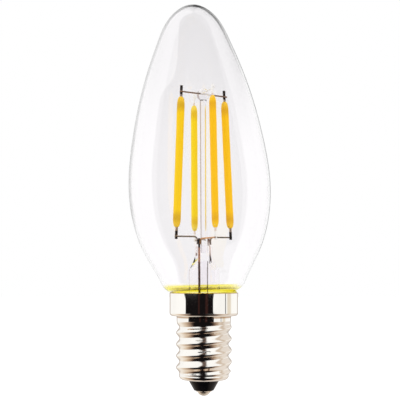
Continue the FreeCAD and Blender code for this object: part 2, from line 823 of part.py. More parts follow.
def make_contact():
    """Centre contact: a plate with a hollow eyelet, and the solder dome that fills its face."""
    gap = get("fit_gap")
    plate_top = get("insulator_low_height") - gap
    plate_low = plate_top - get("contact_sheet")
    eyelet = get("insulator_bore") - gap
    bore = eyelet - get("eyelet_wall")
    tube_top = plate_top + get("eyelet_length")
    plate = turned_body("contact_plate", [
        (bore, plate_low), (get("contact_radius"), plate_low), (get("contact_radius"), plate_top),
        (eyelet, plate_top), (eyelet, tube_top), (bore, tube_top),
    ])
    node(plate, "contact_plate")
    radius = val("solder_radius")
    rise = plate_low.value
    ball = (radius ** 2 + rise ** 2) / (2 * rise)
    dome = Part.makeSphere(ball, Vector(0, 0, ball))
    dome = dome.common(Part.makeCylinder(radius, rise, Vector()))
    plug = Part.makeCylinder(bore.value, val("contact_sheet") + val("fit_gap"), Vector(0, 0, rise))
    wire_hole = Part.makeCylinder(val("inner_wire_radius"), 2 * rise, Vector(0, 0, val("wire_foot_height")))
    shaped("contact_solder", dome.fuse(plug).cut(wire_hole))


def make_cement():
    """Cement ring between the neck of the glass and the skirt, with a low bead above the rim."""
    inner_gap = val("cement_gap")
    outer = skirt_radius.value - val("sheet") - inner_gap
    low = rim.value - val("cement_depth")
    top = rim.value + val("cement_rise")
    shape = Part.makeCylinder(outer, top - low, Vector(0, 0, low))
    neck = val("neck_radius") + inner_gap
    bore = Part.makeCylinder(neck, 3 * (top - low), Vector(0, 0, 2 * low - top))
    foot = neck_top.value - inner_gap
    widest = station_heights[0].value
    bowl = ring_section([(0, foot), (neck, foot), (val("bowl_radius") + inner_gap, widest), (0, widest)])
    for cutter in (bore, bowl):
        cutter.Placement = glass_frame
    shaped("basing_cement", shape.cut([bore, bowl]))


def make_box_piece(label, width, depth, height, middle, front, low):
    """Bound block: middle is its X centre, front its lowest Y and low its lowest Z."""
    box = doc.addObject("Part::Box", label)
    bind(box, "Length", width)
    bind(box, "Width", depth)
    bind(box, "Height", height)
    bind(box, "Placement.Base.x", middle - width / 2)
    bind(box, "Placement.Base.y", front)
    bind(box, "Placement.Base.z", low)
    doc.recompute()
    return box


def make_board():
    width, depth = get("board_width"), get("board_depth")
    height = board_top - board_low
    board = make_box_piece("driver_board", width, depth, height, get("glass_shift"), -depth / 2, board_low)
    node(board, "driver_board")


def make_legged_block(label, prefix, middle_height, legs):
    """Moulded block on the front of the board with flat bent legs along its two sides."""
    width, height, depth = (get(f"{prefix}_{side}") for side in ("width", "height", "depth"))
    face = get("board_depth") / 2 + get("weld_gap")
    leg_deep = get("leg_depth")
    leg_wide = get("leg_width")
    reach = get("leg_reach")
    centre = get("glass_shift")
    block_low = middle_height - height / 2
    pieces = [make_box_piece(label + "_body", width, depth, height, centre, -(face + depth), block_low)]
    for side in (-1, 1):
        foot_middle = centre + (width / 2 + reach / 2) * side
        knee_middle = centre + (width / 2 + leg_deep / 2) * side
        for i in range(legs):
            low = block_low + height * ((i + 0.5) / legs) - leg_wide / 2
            name = f"{label}_{side + 1}_{i}"
            pieces.append(make_box_piece(
                name + "_foot", reach, leg_deep, leg_wide, foot_middle, -(face + leg_deep), low,
            ))
            pieces.append(make_box_piece(
                name + "_knee", leg_deep, depth / 2, leg_wide, knee_middle, -(face + depth / 2), low,
            ))
    fused = doc.addObject("Part::MultiFuse", label)
    fused.Shapes = pieces
    fused.Refine = True
    doc.recompute()
    node(fused, label)


def make_capacitor():
    """Round can lying along the back of the board."""
    can = doc.addObject("Part::Cylinder", "capacitor_can")
    radius = get("capacitor_radius")
    bind(can, "Radius", radius)
    bind(can, "Height", get("capacitor_length"))
    bind(can, "Placement.Base.x", get("glass_shift"))
    bind(can, "Placement.Base.y", get("board_depth") / 2 + get("weld_gap") + radius)
    bind(can, "Placement.Base.z", board_low + get("capacitor_rise"))
    doc.recompute()
    rims = [i for i, e in enumerate(can.Shape.Edges, start=1) if e.BoundBox.ZLength < TOLERANCE]
    chamfered = doc.addObject("Part::Chamfer", "smoothing_capacitor")
    chamfered.Base = can
    chamfered.Edges = [(i, val("capacitor_chamfer"), val("capacitor_chamfer")) for i in rims]
    doc.recompute()
    node(chamfered, "smoothing_capacitor")


def make_fusible_resistor():
    """Small round resistor beside the board's edge, on the wire that runs to the centre contact."""
    radius = val("resistor_radius")
    low = board_low.value + val("resistor_rise")
    y = -(val("board_depth") / 2 + radius + val("weld_gap"))
    x = val("resistor_side")
    body = Part.makeCylinder(radius, val("resistor_length"), Vector(x, y, low))
    rims = [e for e in body.Edges if e.BoundBox.ZLength < TOLERANCE]
    body = body.makeChamfer(val("resistor_chamfer"), rims)
    wire_hole = Part.makeCylinder(val("inner_wire_radius"), radius, Vector(x, y, low))
    shaped("fusible_resistor", body.cut(wire_hole))
    centre = Vector(0, 0, val("wire_foot_height"))
    insulator_top = val("base_height") + val("sheet") + val("fit_gap") + val("insulator_flange")
    above = Vector(0, 0, insulator_top + val("centre_wire_rise"))
    beside = Vector(x, y, above.z + val("centre_wire_slope"))
    end = Vector(x, y, low + radius)
    wire = bent_wire([centre, above, beside, end], val("inner_wire_radius"), val("inner_wire_bend"))
    shaped("centre_wire", wire)


def make_side_wire():
    """Short wire from the board's back face to the inside of the collar."""
    radius = val("inner_wire_radius")
    height = board_top.value - val("side_wire_drop")
    y = val("board_depth") / 2 + radius + val("weld_gap")
    x = -val("board_width") / 2 + val("side_wire_inset")
    wall = val("collar_radius") - val("sheet") - val("seam_step") - radius - val("weld_gap")
    angle = val("side_wire_angle")
    low = Vector(x, y, height - val("side_wire_foot"))
    turn = Vector(x, y, height)
    out = polar(wall, angle, height + val("side_wire_climb"))
    up = polar(wall, angle, out.z + val("side_wire_weld"))
    shaped("side_wire", bent_wire([low, turn, out, up], radius, val("inner_wire_bend")))


def check_and_write():
    """Stops on any failed object or bad shape, then writes one file for each piece."""
    doc.recompute()
    for obj in doc.Objects:
        bad = [s for s in obj.State if s in ("Invalid", "Error")]
        if bad:
            raise RuntimeError(f"{obj.Label}: {bad}")
    os.makedirs("parts", exist_ok=True)
    for obj in nodes:
        if obj.Shape.isNull() or not obj.Shape.isValid() or not obj.Shape.Solids:
            raise RuntimeError(obj.Label + ": shape is not a valid solid")
    for obj in nodes:
        obj.Shape.exportStep(f"parts/{obj.Label}.step")
        print(f"{obj.Label}: {len(obj.Shape.Solids)} solid, {obj.Shape.Volume:.2f} mm3")


make_glass_envelope()
make_stem_flare()
make_exhaust_tube()
make_filaments()
make_wires()
make_cap_shell()
make_insulator()
make_contact()
make_cement()
make_board()
make_legged_block("bridge_rectifier", "bridge", board_top - get("bridge_drop"), 2)
make_legged_block("driver_chip", "chip", board_low + get("chip_rise"), 4)
make_capacitor()
make_fusible_resistor()
make_side_wire()
check_and_write()
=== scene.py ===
import bpy, bmesh, math
from mathutils import Matrix, Vector


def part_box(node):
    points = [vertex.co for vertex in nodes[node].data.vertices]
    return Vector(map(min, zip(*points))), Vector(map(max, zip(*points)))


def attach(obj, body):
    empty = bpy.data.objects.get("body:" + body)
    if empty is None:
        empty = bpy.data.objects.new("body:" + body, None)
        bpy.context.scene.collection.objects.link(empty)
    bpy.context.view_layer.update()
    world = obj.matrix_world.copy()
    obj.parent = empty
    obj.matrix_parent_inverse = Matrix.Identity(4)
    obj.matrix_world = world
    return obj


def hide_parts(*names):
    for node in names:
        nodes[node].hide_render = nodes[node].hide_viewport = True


# Clear candle bulb with four filaments, dressed for a bright light tent.
# Metres throughout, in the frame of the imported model.

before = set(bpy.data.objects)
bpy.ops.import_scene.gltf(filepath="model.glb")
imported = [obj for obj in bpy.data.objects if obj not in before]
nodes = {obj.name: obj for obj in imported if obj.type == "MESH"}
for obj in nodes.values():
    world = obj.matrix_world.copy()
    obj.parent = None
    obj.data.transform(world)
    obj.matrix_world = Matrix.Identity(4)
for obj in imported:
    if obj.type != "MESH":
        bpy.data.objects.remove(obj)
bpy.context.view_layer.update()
print("frame loaded:", len(nodes), "nodes")


# Shader helpers.

class Shade:  # wraps one output socket, so that shader maths reads as maths
    def __init__(self, tree, socket=None):
        self.tree, self.socket = tree, socket

    def node(self, kind, settings=None, values=None, out=0):
        made = self.tree.nodes.new("ShaderNode" + kind)
        for name, value in (settings or {}).items():
            if name == "stops":
                setStops(made.color_ramp, value)
            else:
                setattr(made, name, value)
        for name, value in (values or {}).items():
            if isinstance(value, Shade):
                self.tree.links.new(value.socket, made.inputs[name])
            else:
                made.inputs[name].default_value = value
        return Shade(self.tree, made.outputs[out]) if made.outputs else None

    def maths(self, operation, *values):
        return self.node("Math", {"operation": operation}, dict(enumerate(values)))

    def blend(self, factor, low, high):
        return self.node("Mix", {"data_type": "RGBA"}, {0: factor, 6: low, 7: high}, out=2)

    def step(self, low, high, bottom=0.0, top=1.0):
        values = {"Value": self, "From Min": low, "From Max": high, "To Min": bottom, "To Max": top}
        return self.node("MapRange", {"interpolation_type": "SMOOTHSTEP"}, values)

    def ramp(self, *stops):
        return self.node("ValToRGB", {"stops": stops}, {"Fac": self})

    def __add__(self, other):
        return self.maths("ADD", self, other)

    def __sub__(self, other):
        return self.maths("SUBTRACT", self, other)

    def __rsub__(self, other):
        return self.maths("SUBTRACT", other, self)

    def __mul__(self, other):
        return self.maths("MULTIPLY", self, other)

    def __truediv__(self, other):
        return self.maths("DIVIDE", self, other)


def setStops(ramp, stops):
    ramp.interpolation = "LINEAR"
    while len(ramp.elements) < len(stops):
        ramp.elements.new(1.0)
    for mark, (place, colour) in zip(ramp.elements, stops):
        mark.position, mark.color = place, tint(colour)


def tint(colour):  # linear value of a colour given as it shows, 0 to 255
    if isinstance(colour, (int, float)):
        return (colour, colour, colour, 1.0)
    scaled = [c / 255 for c in colour]
    return tuple(c / 12.92 if c < 0.04045 else ((c + 0.055) / 1.055) ** 2.4 for c in scaled) + (1.0,)


def newMaterial(name):
    material = bpy.data.materials.new(name)
    material.use_nodes = True
    material.node_tree.nodes.clear()
    return material, Shade(material.node_tree)


def close(tree, shader):
    tree.node("OutputMaterial", None, {"Surface": shader})


def places(tree):
    return tree.node("TexCoord", out="Object")


def heightOf(tree):
    return tree.node("SeparateXYZ", None, {"Vector": places(tree)}, out="Z")


def grain(tree, scale, detail=3.0, stretch=None):
    where = places(tree)
    if stretch:
        where = tree.node("Mapping", None, {"Vector": where, "Scale": stretch})
    return tree.node("TexNoise", None, {"Vector": where, "Scale": scale, "Detail": detail})


def bump(tree, height, strength, distance):
    return tree.node("Bump", None, {"Height": height, "Strength": strength, "Distance": distance})


def wear(name, material):
    mesh = nodes[name].data
    mesh.materials.clear()
    mesh.materials.append(material)


def newPiece(name, points, faces, material, slot, *replaced):
    mesh = bpy.data.meshes.new(name)
    mesh.from_pydata([tuple(p) for p in points], [], faces)
    mesh.polygons.foreach_set("use_smooth", [True] * len(mesh.polygons))
    mesh.materials.append(material)
    piece = bpy.data.objects.new(name, mesh)
    bpy.context.scene.collection.objects.link(piece)
    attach(piece, "root")
    if replaced:
        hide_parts(*replaced)
    return piece


def ringFaces(rows, around, closed=False):  # quads between rings of points
    faces = []
    for row in range(rows if closed else rows - 1):
        low, high = row * around, (row + 1) % rows * around
        for i in range(around):
            j = (i + 1) % around
            faces.append((low + i, low + j, high + j, high + i))
    return faces


# Camera, level with the foot of the glass and turned up a little.

view = {
    "place": (-0.000951, -0.200, 0.028296),
    "pitch": 4.291,
    "lens": 72.3,
    "film": 36.0,
    "shift": 0.05,
}


def makeCamera():
    lens = bpy.data.cameras.new("view")
    lens.lens, lens.sensor_width, lens.shift_y = view["lens"], view["film"], view["shift"]
    lens.clip_start, lens.clip_end = 0.005, 20.0
    camera = bpy.data.objects.new("view", lens)
    camera.location = view["place"]
    camera.rotation_euler = (math.radians(90 + view["pitch"]), 0, 0)
    bpy.context.scene.collection.objects.link(camera)
    bpy.context.scene.camera = camera


makeCamera()
print("camera made")


# Light tent: white all round, with gaps that the metal and the glass show as dark shapes.
# Directions are in degrees: azimuth from the camera, positive to the right, and elevation.

tent = {
    "light": 1.05,              # plain light that falls on the bulb
    "dark": (20, 17, 18),
    "brown": (104, 88, 80),
    "streak": (54, 32, 29),     # brown cloth in the slit
    "streaks": ((-16.6, 2.5), (9.0, 4.0)),
    "slitLevel": (-3.5, -0.7),  # the slit between table and tent
    "slit": (-63.0, 30.5),
    "slitHead": (-1.4, -0.9),   # the slit widens at its head and foot
    "slitFoot": (-2.7, -2.25),
    "slitWider": ((6.0, 3.0), (5.0, 12.0)),
    "ledge": (-6.2, -3.3),      # dark edge between the slit and the stand
    "ledgeMiddle": 1.0,
    "ledgeHalf": (52.0, 61.0),
    "seam": (75.2, 78.0),       # thin gap between two sheets at the right
    "fold": (84.0, 102.0, (232, 222, 206)),
    "eyeLevel": (-6.0, 4.0),
    "sheets": (                 # warmer cloth at the right, above and below eye level
        (78.0, 150.0, 14.0, (230, 221, 213)),
        (80.0, 99.0, 8.0, (208, 191, 175))),
    "back": (150.0, (200, 190, 182)),  # wall behind the tent
    "door": (-23.0, 9.0),       # upright gap with the camera in it
    "doorRise": (12.0, 55.0),   # dark at its foot and brown above
    "standMiddle": -7.0,        # dark stand below the bulb
    "standRise": (-50.0, -16.0),
    "standHalf": (50.0, 30.0),
    "standFoot": (-75.0, -66.0),
    "standPlinth": 34.0,        # how much narrower its foot is
    "standTop": (-14.0, -7.0),
    "standFade": 85.0,
    "standShades": ((0.0, (20, 17, 18)), (0.12, (84, 66, 56)), (0.3, (158, 132, 112)),
                    (0.6, (214, 192, 168)), (1.0, (246, 238, 228))),
    "glassGap": (-82.0, 82.0),  # the dark room as the glass shows it, darker higher up
    "glassShades": (0.06, 0.0),
    "through": (9.0, 18.0, 1.01, 0.93),  # the backdrop behind the glass, darker higher up
    "glassRise": (5.0, 55.0),
    "sides": (20.0, 45.0, 1.0, 1.25),  # the sheets beside it, brighter higher up
    "notch": 28.0,              # something white that cuts into its left side
    "notchFoot": (30.0, 44.0),
    "notchHead": (47.0, 60.0),
    "leftEnd": (-185.0, -148.0, 0.8),   # ends of the backdrop, seen through the rim of the glass
    "rightEnd": (165.0, 185.0, 0.3),
    "endFoot": (-4.0, 3.0),
    "rodEnd": (95.0, 150.0, (190, 176, 172)),  # seen in one edge of the rod
    "stemShade": 0.6,
    "roof": (20.0, 34.0),
    "roofLeft": 0.4,            # share of the roof's darkness at the left
    "roofSide": (-0.3, -0.05),
    "wallDepth": 3,             # passes through glass after which a ray is past the outer wall
    "stemDepth": 5,
    "rodDepth": 6,
    # widths of the soft edges, in degrees
    "levelEdge": 3.0,
    "foldEdge": 4.0,
    "backEdge": 8.0,
    "doorEdge": 9.0,
    "doorFoot": (-30.0, -18.0),
    "ledgeEnds": 1.5,
    "ledgeEdge": 0.4,
    "streakEdge": 0.8,          # as a share of the streak
    "slitEnds": 1.0,
    "slitEdge": 0.15,
    "seamEdge": 0.4,
    "gapEdges": (1.0, 2.0),
    "endEdge": 3.0,
    "rodEdge": 5.0,
    "floor": -0.10,
    "floorSize": 6.0,
    "floorPlain": 0.8,
    "floorLit": 0.5,
    "floorGlow": 0.62,
    "lampPower": 1.6,
    "lampSize": 0.5,
    "lampDistance": 0.75,
    "lampPlace": (0.35, 0.75),  # towards the camera and up, as shares of the distance
    "lampAim": 0.05,
}


def between(value, low, high, edge):  # 1 inside a band with soft edges
    return value.step(low - edge, low + edge) * (1.0 - value.step(high - edge, high + edge))


def metalView(sky, azimuth, elevation):
    white, dark = tint(1.0), tint(tent["dark"])
    plinth = (1.0 - elevation.step(*tent["standFoot"])) * tent["standPlinth"]
    standHalf = elevation.step(*tent["standRise"], *tent["standHalf"]) - plinth
    beside = (sky.maths("ABSOLUTE", azimuth - tent["standMiddle"]) - standHalf) / tent["standFade"]
    seen = sky.blend(elevation.step(*tent["standTop"]), beside.ramp(*tent["standShades"]), white)

    level = between(elevation, *tent["eyeLevel"], tent["levelEdge"])
    for left, right, edge, cloth in tent["sheets"]:
        seen = sky.blend(between(azimuth, left, right, edge) * (1.0 - level), seen, tint(cloth))
    foldLeft, foldRight, foldCloth = tent["fold"]
    fold = between(azimuth, foldLeft, foldRight, tent["foldEdge"])
    seen = sky.blend(fold * level, seen, tint(foldCloth))
    start, wall = tent["back"]
    behind = sky.maths("ABSOLUTE", azimuth).step(start - tent["backEdge"], start + tent["backEdge"])
    seen = sky.blend(behind, seen, tint(wall))

    doorway = between(azimuth, *tent["door"], tent["doorEdge"]) * elevation.step(*tent["doorFoot"])
    doorShade = sky.blend(elevation.step(*tent["doorRise"]), dark, tint(tent["brown"]))
    seen = sky.blend(doorway, seen, doorShade)
    ledgeHalf = elevation.step(*tent["ledge"], *tent["ledgeHalf"])
    ledgeEnds = tent["ledgeEnds"]
    ledge = (ledgeHalf - sky.maths("ABSOLUTE", azimuth - tent["ledgeMiddle"])).step(-ledgeEnds, ledgeEnds)
    seen = sky.blend(ledge * between(elevation, *tent["ledge"], tent["ledgeEdge"]), seen, dark)

    slitCloth = dark
    for middle, width in tent["streaks"]:
        streak = between(azimuth, middle - width, middle + width, width * tent["streakEdge"])
        slitCloth = sky.blend(streak, slitCloth, tint(tent["streak"]))
    head = elevation.step(*tent["slitHead"])
    foot = 1.0 - elevation.step(*tent["slitFoot"])
    (headLeft, headRight), (footLeft, footRight) = tent["slitWider"]
    slitLeft, slitRight = tent["slit"]
    slit = between(
        azimuth + head * headLeft + foot * footLeft, slitLeft, 180.0, tent["slitEnds"]) * between(
        azimuth - head * headRight - foot * footRight, -180.0, slitRight, tent["slitEnds"])
    gaps = sky.maths("MAXIMUM", slit, between(azimuth, *tent["seam"], tent["seamEdge"]))
    return sky.blend(gaps * between(elevation, *tent["slitLevel"], tent["slitEdge"]), seen, slitCloth)


def glassView(sky, azimuth, elevation):
    def depth(kind, least):
        return sky.node("LightPath", out=kind + " Depth").step(least - 0.6, least - 0.4)

    through, reflected = sky.node("LightPath", out="Is Transmission Ray"), depth("Glossy", 1)
    left, right = tent["glassGap"]
    leftEdge, rightEdge = tent["gapEdges"]
    cut = elevation.step(*tent["notchFoot"]) * (1.0 - elevation.step(*tent["notchHead"])) * tent["notch"]
    gap = (azimuth - cut).step(left - leftEdge, left + leftEdge) * (
        1.0 - azimuth.step(right - rightEdge, right + rightEdge))
    room = sky.maths("MAXIMUM", elevation.step(*tent["glassRise"], *tent["glassShades"]),
                     depth("Transmission", tent["stemDepth"]) * tent["stemShade"])
    sheets = reflected * elevation.step(*tent["sides"])
    seen = sky.blend(gap * reflected, sky.maths("MAXIMUM", elevation.step(*tent["through"]), sheets), room)
    outer = 1.0 - depth("Transmission", tent["wallDepth"])
    for low, high, level in (tent["leftEnd"], tent["rightEnd"]):
        end = between(azimuth, low, high, tent["endEdge"]) * reflected * outer
        seen = sky.blend(end * elevation.step(*tent["endFoot"]), seen, tint(level))
    rodLow, rodHigh, rodShade = tent["rodEnd"]
    rod = between(azimuth, rodLow, rodHigh, tent["rodEdge"]) * depth("Transmission", tent["rodDepth"])
    seen = sky.blend(rod * (1.0 - reflected), seen, tint(rodShade))
    # only rays bent once, in the wall of the glass, reach the dark roof
    side = sky.maths("SINE", azimuth * (math.pi / 180)).step(*tent["roofSide"], tent["roofLeft"], 1.0)
    roof = elevation.step(*tent["roof"]) * through * outer * side
    return sky.blend(roof, seen, tint(tent["dark"]))


def makeTent():
    world = bpy.data.worlds.new("tent")
    bpy.context.scene.world = world
    world.use_nodes = True
    world.node_tree.nodes.clear()
    sky = Shade(world.node_tree)
    way = sky.node("TexCoord", out="Generated")
    across, along, up = [sky.node("SeparateXYZ", None, {"Vector": way}, out=k) for k in "XYZ"]
    degrees = 180 / math.pi
    azimuth = sky.maths("ARCTAN2", across, along * -1.0) * degrees
    elevation = sky.maths("ARCSINE", up) * degrees
    kinds = ("Singular", "Camera", "Glossy", "Transmission")
    isSharp, isCamera, isGlossy, isThrough = [
        sky.node("LightPath", out="Is " + kind + " Ray") for kind in kinds]
    shown = sky.blend(isSharp, metalView(sky, azimuth, elevation), glassView(sky, azimuth, elevation))
    shown = sky.blend(isCamera, shown, tint(1.0))
    anyShown = sky.maths("MAXIMUM", isCamera, sky.maths("MAXIMUM", isGlossy, isThrough))
    colour = sky.blend(anyShown, tint(tent["light"]), shown)
    glow = sky.node("Background", None, {"Color": colour, "Strength": 1.0})
    sky.node("OutputWorld", None, {"Surface": glow})


def makeLamps():
    reach, size = tent["lampDistance"], tent["lampSize"]
    for name, side in (("left_lamp", -1), ("right_lamp", 1)):
        lamp = bpy.data.lights.new(name, "AREA")
        lamp.energy, lamp.shape, lamp.size = tent["lampPower"], "SQUARE", size
        stand = bpy.data.objects.new(name, lamp)
        nearer, above = tent["lampPlace"]
        stand.location = (side * reach, -reach * nearer, reach * above)
        aim = stand.location.copy()
        aim.z -= tent["lampAim"]
        stand.rotation_euler = aim.to_track_quat("Z", "Y").to_euler()
        stand.visible_glossy = stand.visible_transmission = False
        bpy.context.scene.collection.objects.link(stand)


def makeFloor():
    shape = bmesh.new()
    bmesh.ops.create_circle(shape, cap_ends=True, segments=96, radius=tent["floorSize"])
    mesh = bpy.data.meshes.new("floor")
    shape.to_mesh(mesh)
    shape.free()
    for point in mesh.vertices:
        point.co.z = tent["floor"]
    floor = bpy.data.objects.new("floor", mesh)
    # the tent gives what metal and glass show below the horizon
    floor.visible_glossy = floor.visible_transmission = False
    bpy.context.scene.collection.objects.link(floor)
    material, tree = newMaterial("whiteTable")
    seen = tree.maths("MAXIMUM", tree.node("LightPath", out="Is Camera Ray"),
                      tree.maths("MAXIMUM", tree.node("LightPath", out="Is Glossy Ray"),
                                 tree.node("LightPath", out="Is Transmission Ray")))
    plain = tree.node("BsdfDiffuse", None, {"Color": tint(tent["floorPlain"])})
    shadowed = tree.node("BsdfDiffuse", None, {"Color": tint(tent["floorLit"])})
    glow = tree.node("Emission", None, {"Color": tint(1.0), "Strength": tent["floorGlow"]})
    lit = tree.node("AddShader", None, {0: shadowed, 1: glow})
    close(tree, tree.node("MixShader", None, {0: seen, 1: plain, 2: lit}))
    mesh.materials.append(material)


makeTent()
makeLamps()
makeFloor()
print("tent, lamps and floor made")


# Clear glass.

glass = {
    "index": 1.5,
    "colour": (255, 254, 255),
    "wall": 0.00062,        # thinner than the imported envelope's
    "rows": 150,
    "around": 192,
    "lean": -2.4,
    "shift": 0.12,
    "seal": 23.2,
    "foot": (7.55, 22.3),
    "stations": (  # radius and height in mm, as the blown shell has them
        (7.55, 24.75), (9.0, 25.95), (10.75, 28.4), (14.35, 35.3), (16.92, 43.3), (17.7, 51.0),
        (16.42, 63.5), (13.5, 76.3), (9.0, 89.05), (6.22, 94.4), (0.0, 98.15)),
    "ripple": 60.0,
    "rippleDepth": (0.05, 0.0004),
    "shadow": (252, 252, 252),      # light that the glass lets through to what lies behind
    # painted refraction: the yellow cement seen through the foot of the glass is painted into the glass's
    # colour by height, paler at the rim
    "cement": (250, 238, 66),
    "cementEdge": (255, 253, 206),
    "cementLow": (0.02535, 0.0258),  # paler where it meets the rim
    "cementHigh": (0.0261, 0.0272),  # fades out of the glass between these heights
    "stemIndex": 1.12,
    "rodIndex": 1.42,
}


def clampedSpline(marks, values, first, last):  # slopes of the smooth curve at its marks
    count = len(marks)
    gaps = [b - a for a, b in zip(marks, marks[1:])]
    slopes = [first] + [0.0] * (count - 2) + [last]
    share, carried = [0.0] * count, list(slopes)
    for i in range(1, count - 1):
        before, after = gaps[i - 1], gaps[i]
        pull = 3 * ((values[i + 1] - values[i]) * before / after
                    + (values[i] - values[i - 1]) * after / before)
        whole = 2 * (before + after) - after * share[i - 1]
        share[i] = before / whole
        carried[i] = (pull - after * carried[i - 1]) / whole
    for i in range(count - 2, 0, -1):
        slopes[i] = carried[i] - share[i] * slopes[i + 1]
    return slopes


def smoothCurve(stations, rows):  # points along the meridian, closer together at the nose
    marks = [0.0]
    for a, b in zip(stations, stations[1:]):
        marks.append(marks[-1] + math.dist(a, b))
    radii, heights = zip(*stations)
    radiusSlopes = clampedSpline(marks, radii, 0.0, -1.0)
    heightSlopes = clampedSpline(marks, heights, 1.0, 0.0)
    points = []
    for row in range(rows + 1):
        at = marks[-1] * math.sin(row / rows * math.pi / 2)
        i = max(k for k in range(len(marks) - 1) if marks[k] <= at + 1e-9)
        gap = marks[i + 1] - marks[i]
        t = (at - marks[i]) / gap
        point = []
        for values, slopes in ((radii, radiusSlopes), (heights, heightSlopes)):
            point.append((1 + 2 * t) * (1 - t) ** 2 * values[i] + t * (1 - t) ** 2 * gap * slopes[i]
                         + t * t * (3 - 2 * t) * values[i + 1] + t * t * (t - 1) * gap * slopes[i + 1])
        points.append(point)
    return points


def makeEnvelope(material):
    outside = [glass["foot"]] + smoothCurve(glass["stations"], glass["rows"])
    wall = glass["wall"] * 1000
    inside = []
    for k, (r, z) in enumerate(outside):
        before, after = outside[max(k - 1, 0)], outside[min(k + 1, len(outside) - 1)]
        across, up = after[0] - before[0], after[1] - before[1]
        size = math.hypot(across, up)
        inside.append((r - up / size * wall, z + across / size * wall))
    inside[-1] = (0.0, outside[-1][1] - wall)
    loop = outside[:-1] + [(1e-4, outside[-1][1]), (1e-4, inside[-1][1])] + inside[-2::-1]
    loop = [(max(r, 1e-4), z) for r, z in loop]
    around = glass["around"]
    place = Matrix.Translation((glass["shift"], 0, glass["seal"])) @ Matrix.Rotation(
        math.radians(glass["lean"]), 4, "Y") @ Matrix.Translation((0, 0, -glass["seal"]))
    points = []
    for r, z in loop:
        for i in range(around):
            turn = 2 * math.pi * i / around
            points.append(place @ Vector((r * math.cos(turn), r * math.sin(turn), z)) / 1000)
    faces = ringFaces(len(loop), around, closed=True)
    return newPiece("blown_glass", points, faces, material, "clear_glass", "glass_envelope")


def makeGlass(name, index, cement=False):
    material, tree = newMaterial(name)
    colour = tint(glass["colour"])
    if cement:
        # painted refraction of the cement, seen through the foot of the glass
        height = heightOf(tree)
        cementSeen = tree.blend(height.step(*glass["cementLow"]), tint(glass["cementEdge"]), tint(glass["cement"]))
        colour = tree.blend(height.step(*glass["cementHigh"]), cementSeen, colour)
    ripple = grain(tree, glass["ripple"], 1.0)
    body = tree.node("BsdfPrincipled", None, {
        "Base Color": colour, "Roughness": 0.0, "IOR": index, "Transmission Weight": 1.0,
        "Normal": bump(tree, ripple, *glass["rippleDepth"])})
    clear = tree.node("BsdfTransparent", None, {"Color": tint(glass["shadow"])})
    lamp = tree.node("LightPath", out="Is Shadow Ray")
    passes = tree.maths("MAXIMUM", lamp, tree.node("LightPath", out="Is Diffuse Ray"))
    close(tree, tree.node("MixShader", None, {0: passes, 1: body, 2: clear}))
    return material


makeEnvelope(makeGlass("clearGlass", glass["index"], cement=True))
wear("glass_envelope", makeGlass("plainGlass", glass["index"]))
stemGlass = makeGlass("stemGlass", glass["stemIndex"])
for piece in ("stem_flare", "exhaust_tube"):
    wear(piece, stemGlass)
wear("support_rod", makeGlass("rodGlass", glass["rodIndex"]))
print("glass done")


# Filaments: yellow silicone over a strip, darker where the strip ends.

# each filament's clip takes the painted dark or the painted bright copy of the tab metal
filaments = {
    "front_left": {
        "middle": (255, 209, 10), "spot": (220, 172, 26), "tip": (246, 200, 50), "clip": "clipDark"},
    "back_left": {
        "middle": (255, 222, 26), "spot": (238, 196, 36), "tip": (252, 222, 84), "clip": "clipBright"},
    "front_right": {
        "middle": (255, 195, 2), "spot": (238, 176, 18), "tip": (255, 202, 30), "clip": "clipBright"},
    "back_right": {
        "middle": (255, 198, 4), "spot": (232, 172, 24), "tip": (248, 196, 48), "clip": "clipDark"},
}
coat = {
    "width": 0.00195, "depth": 0.00162,
    "tip": 0.36,            # width of the very tip, as a share
    "taper": 0.0021,
    "rows": 60, "around": 32,
    "stripWidth": 0.001,
    "crowding": 0.25,       # how far the rows gather at the ends
    "wave": 0.012,          # slight unevenness of the cast coat
    "waves": 23, "waveShift": 900,
    "spotFrom": 0.0006, "spotAt": 0.0022, "spotTo": 0.0046,  # the strip's end shows through the coat
    "rough": 0.42, "gloss": 0.2, "grain": 2600.0,
    "speck": (255, 224, 60), "speckShare": 0.12,
    # painted sheen: the coat is paler where it is seen edge-on
    "rim": (255, 232, 120), "rimShare": 0.25,
}


def filamentFrame(name):  # foot, head, and the directions across its width and depth
    strip = [v.co for v in nodes["filament_" + name + "_strip"].data.vertices]
    middle = sum((c.z for c in strip)) / len(strip)
    ends = [[c for c in strip if (c.z > middle) == top] for top in (False, True)]
    low, high = [sum(end, Vector()) / len(end) for end in ends]
    along = (high - low).normalized()
    reach = [(c - low).dot(along) for c in (v.co for v in nodes["filament_" + name].data.vertices)]
    first = ends[0][0]
    sides = sorted((c - first for c in ends[0] if (c - first).length > 1e-5), key=lambda c: c.length)
    wide = [c for c in sides if abs(c.length - coat["stripWidth"]) < 2e-5][0].normalized()
    return low + along * min(reach), low + along * max(reach), wide, along.cross(wide)


def makeCoat(name, material):
    foot, head, wide, deep = filamentFrame(name)
    length = (head - foot).length
    rows, around = coat["rows"], coat["around"]
    points = []
    for row in range(rows + 1):
        share = 0.5 - 0.5 * math.cos(math.pi * row / rows)
        share = share * share * (3 - 2 * share) * coat["crowding"] + share * (1 - coat["crowding"])
        end = min(share, 1 - share) * length
        lean = min(end / coat["taper"], 1.0)
        swell = coat["tip"] + (1 - coat["tip"]) * math.sqrt(1 - (1 - lean) ** 2)
        swell *= 1 + coat["wave"] * math.sin(share * coat["waves"] + foot.x * coat["waveShift"])
        if row in (0, rows):
            swell = 0.001
        run = (coat["width"] - coat["depth"]) / 2
        for i in range(around):
            turn = 2 * math.pi * i / around
            x = coat["depth"] / 2 * math.cos(turn) + math.copysign(run, math.cos(turn))
            y = coat["depth"] / 2 * math.sin(turn)
            points.append(foot.lerp(head, share) + wide * (x * swell) + deep * (y * swell))
    faces = ringFaces(rows + 1, around)
    return newPiece("coating_" + name, points, faces, material, "yellow_coating", "filament_" + name)


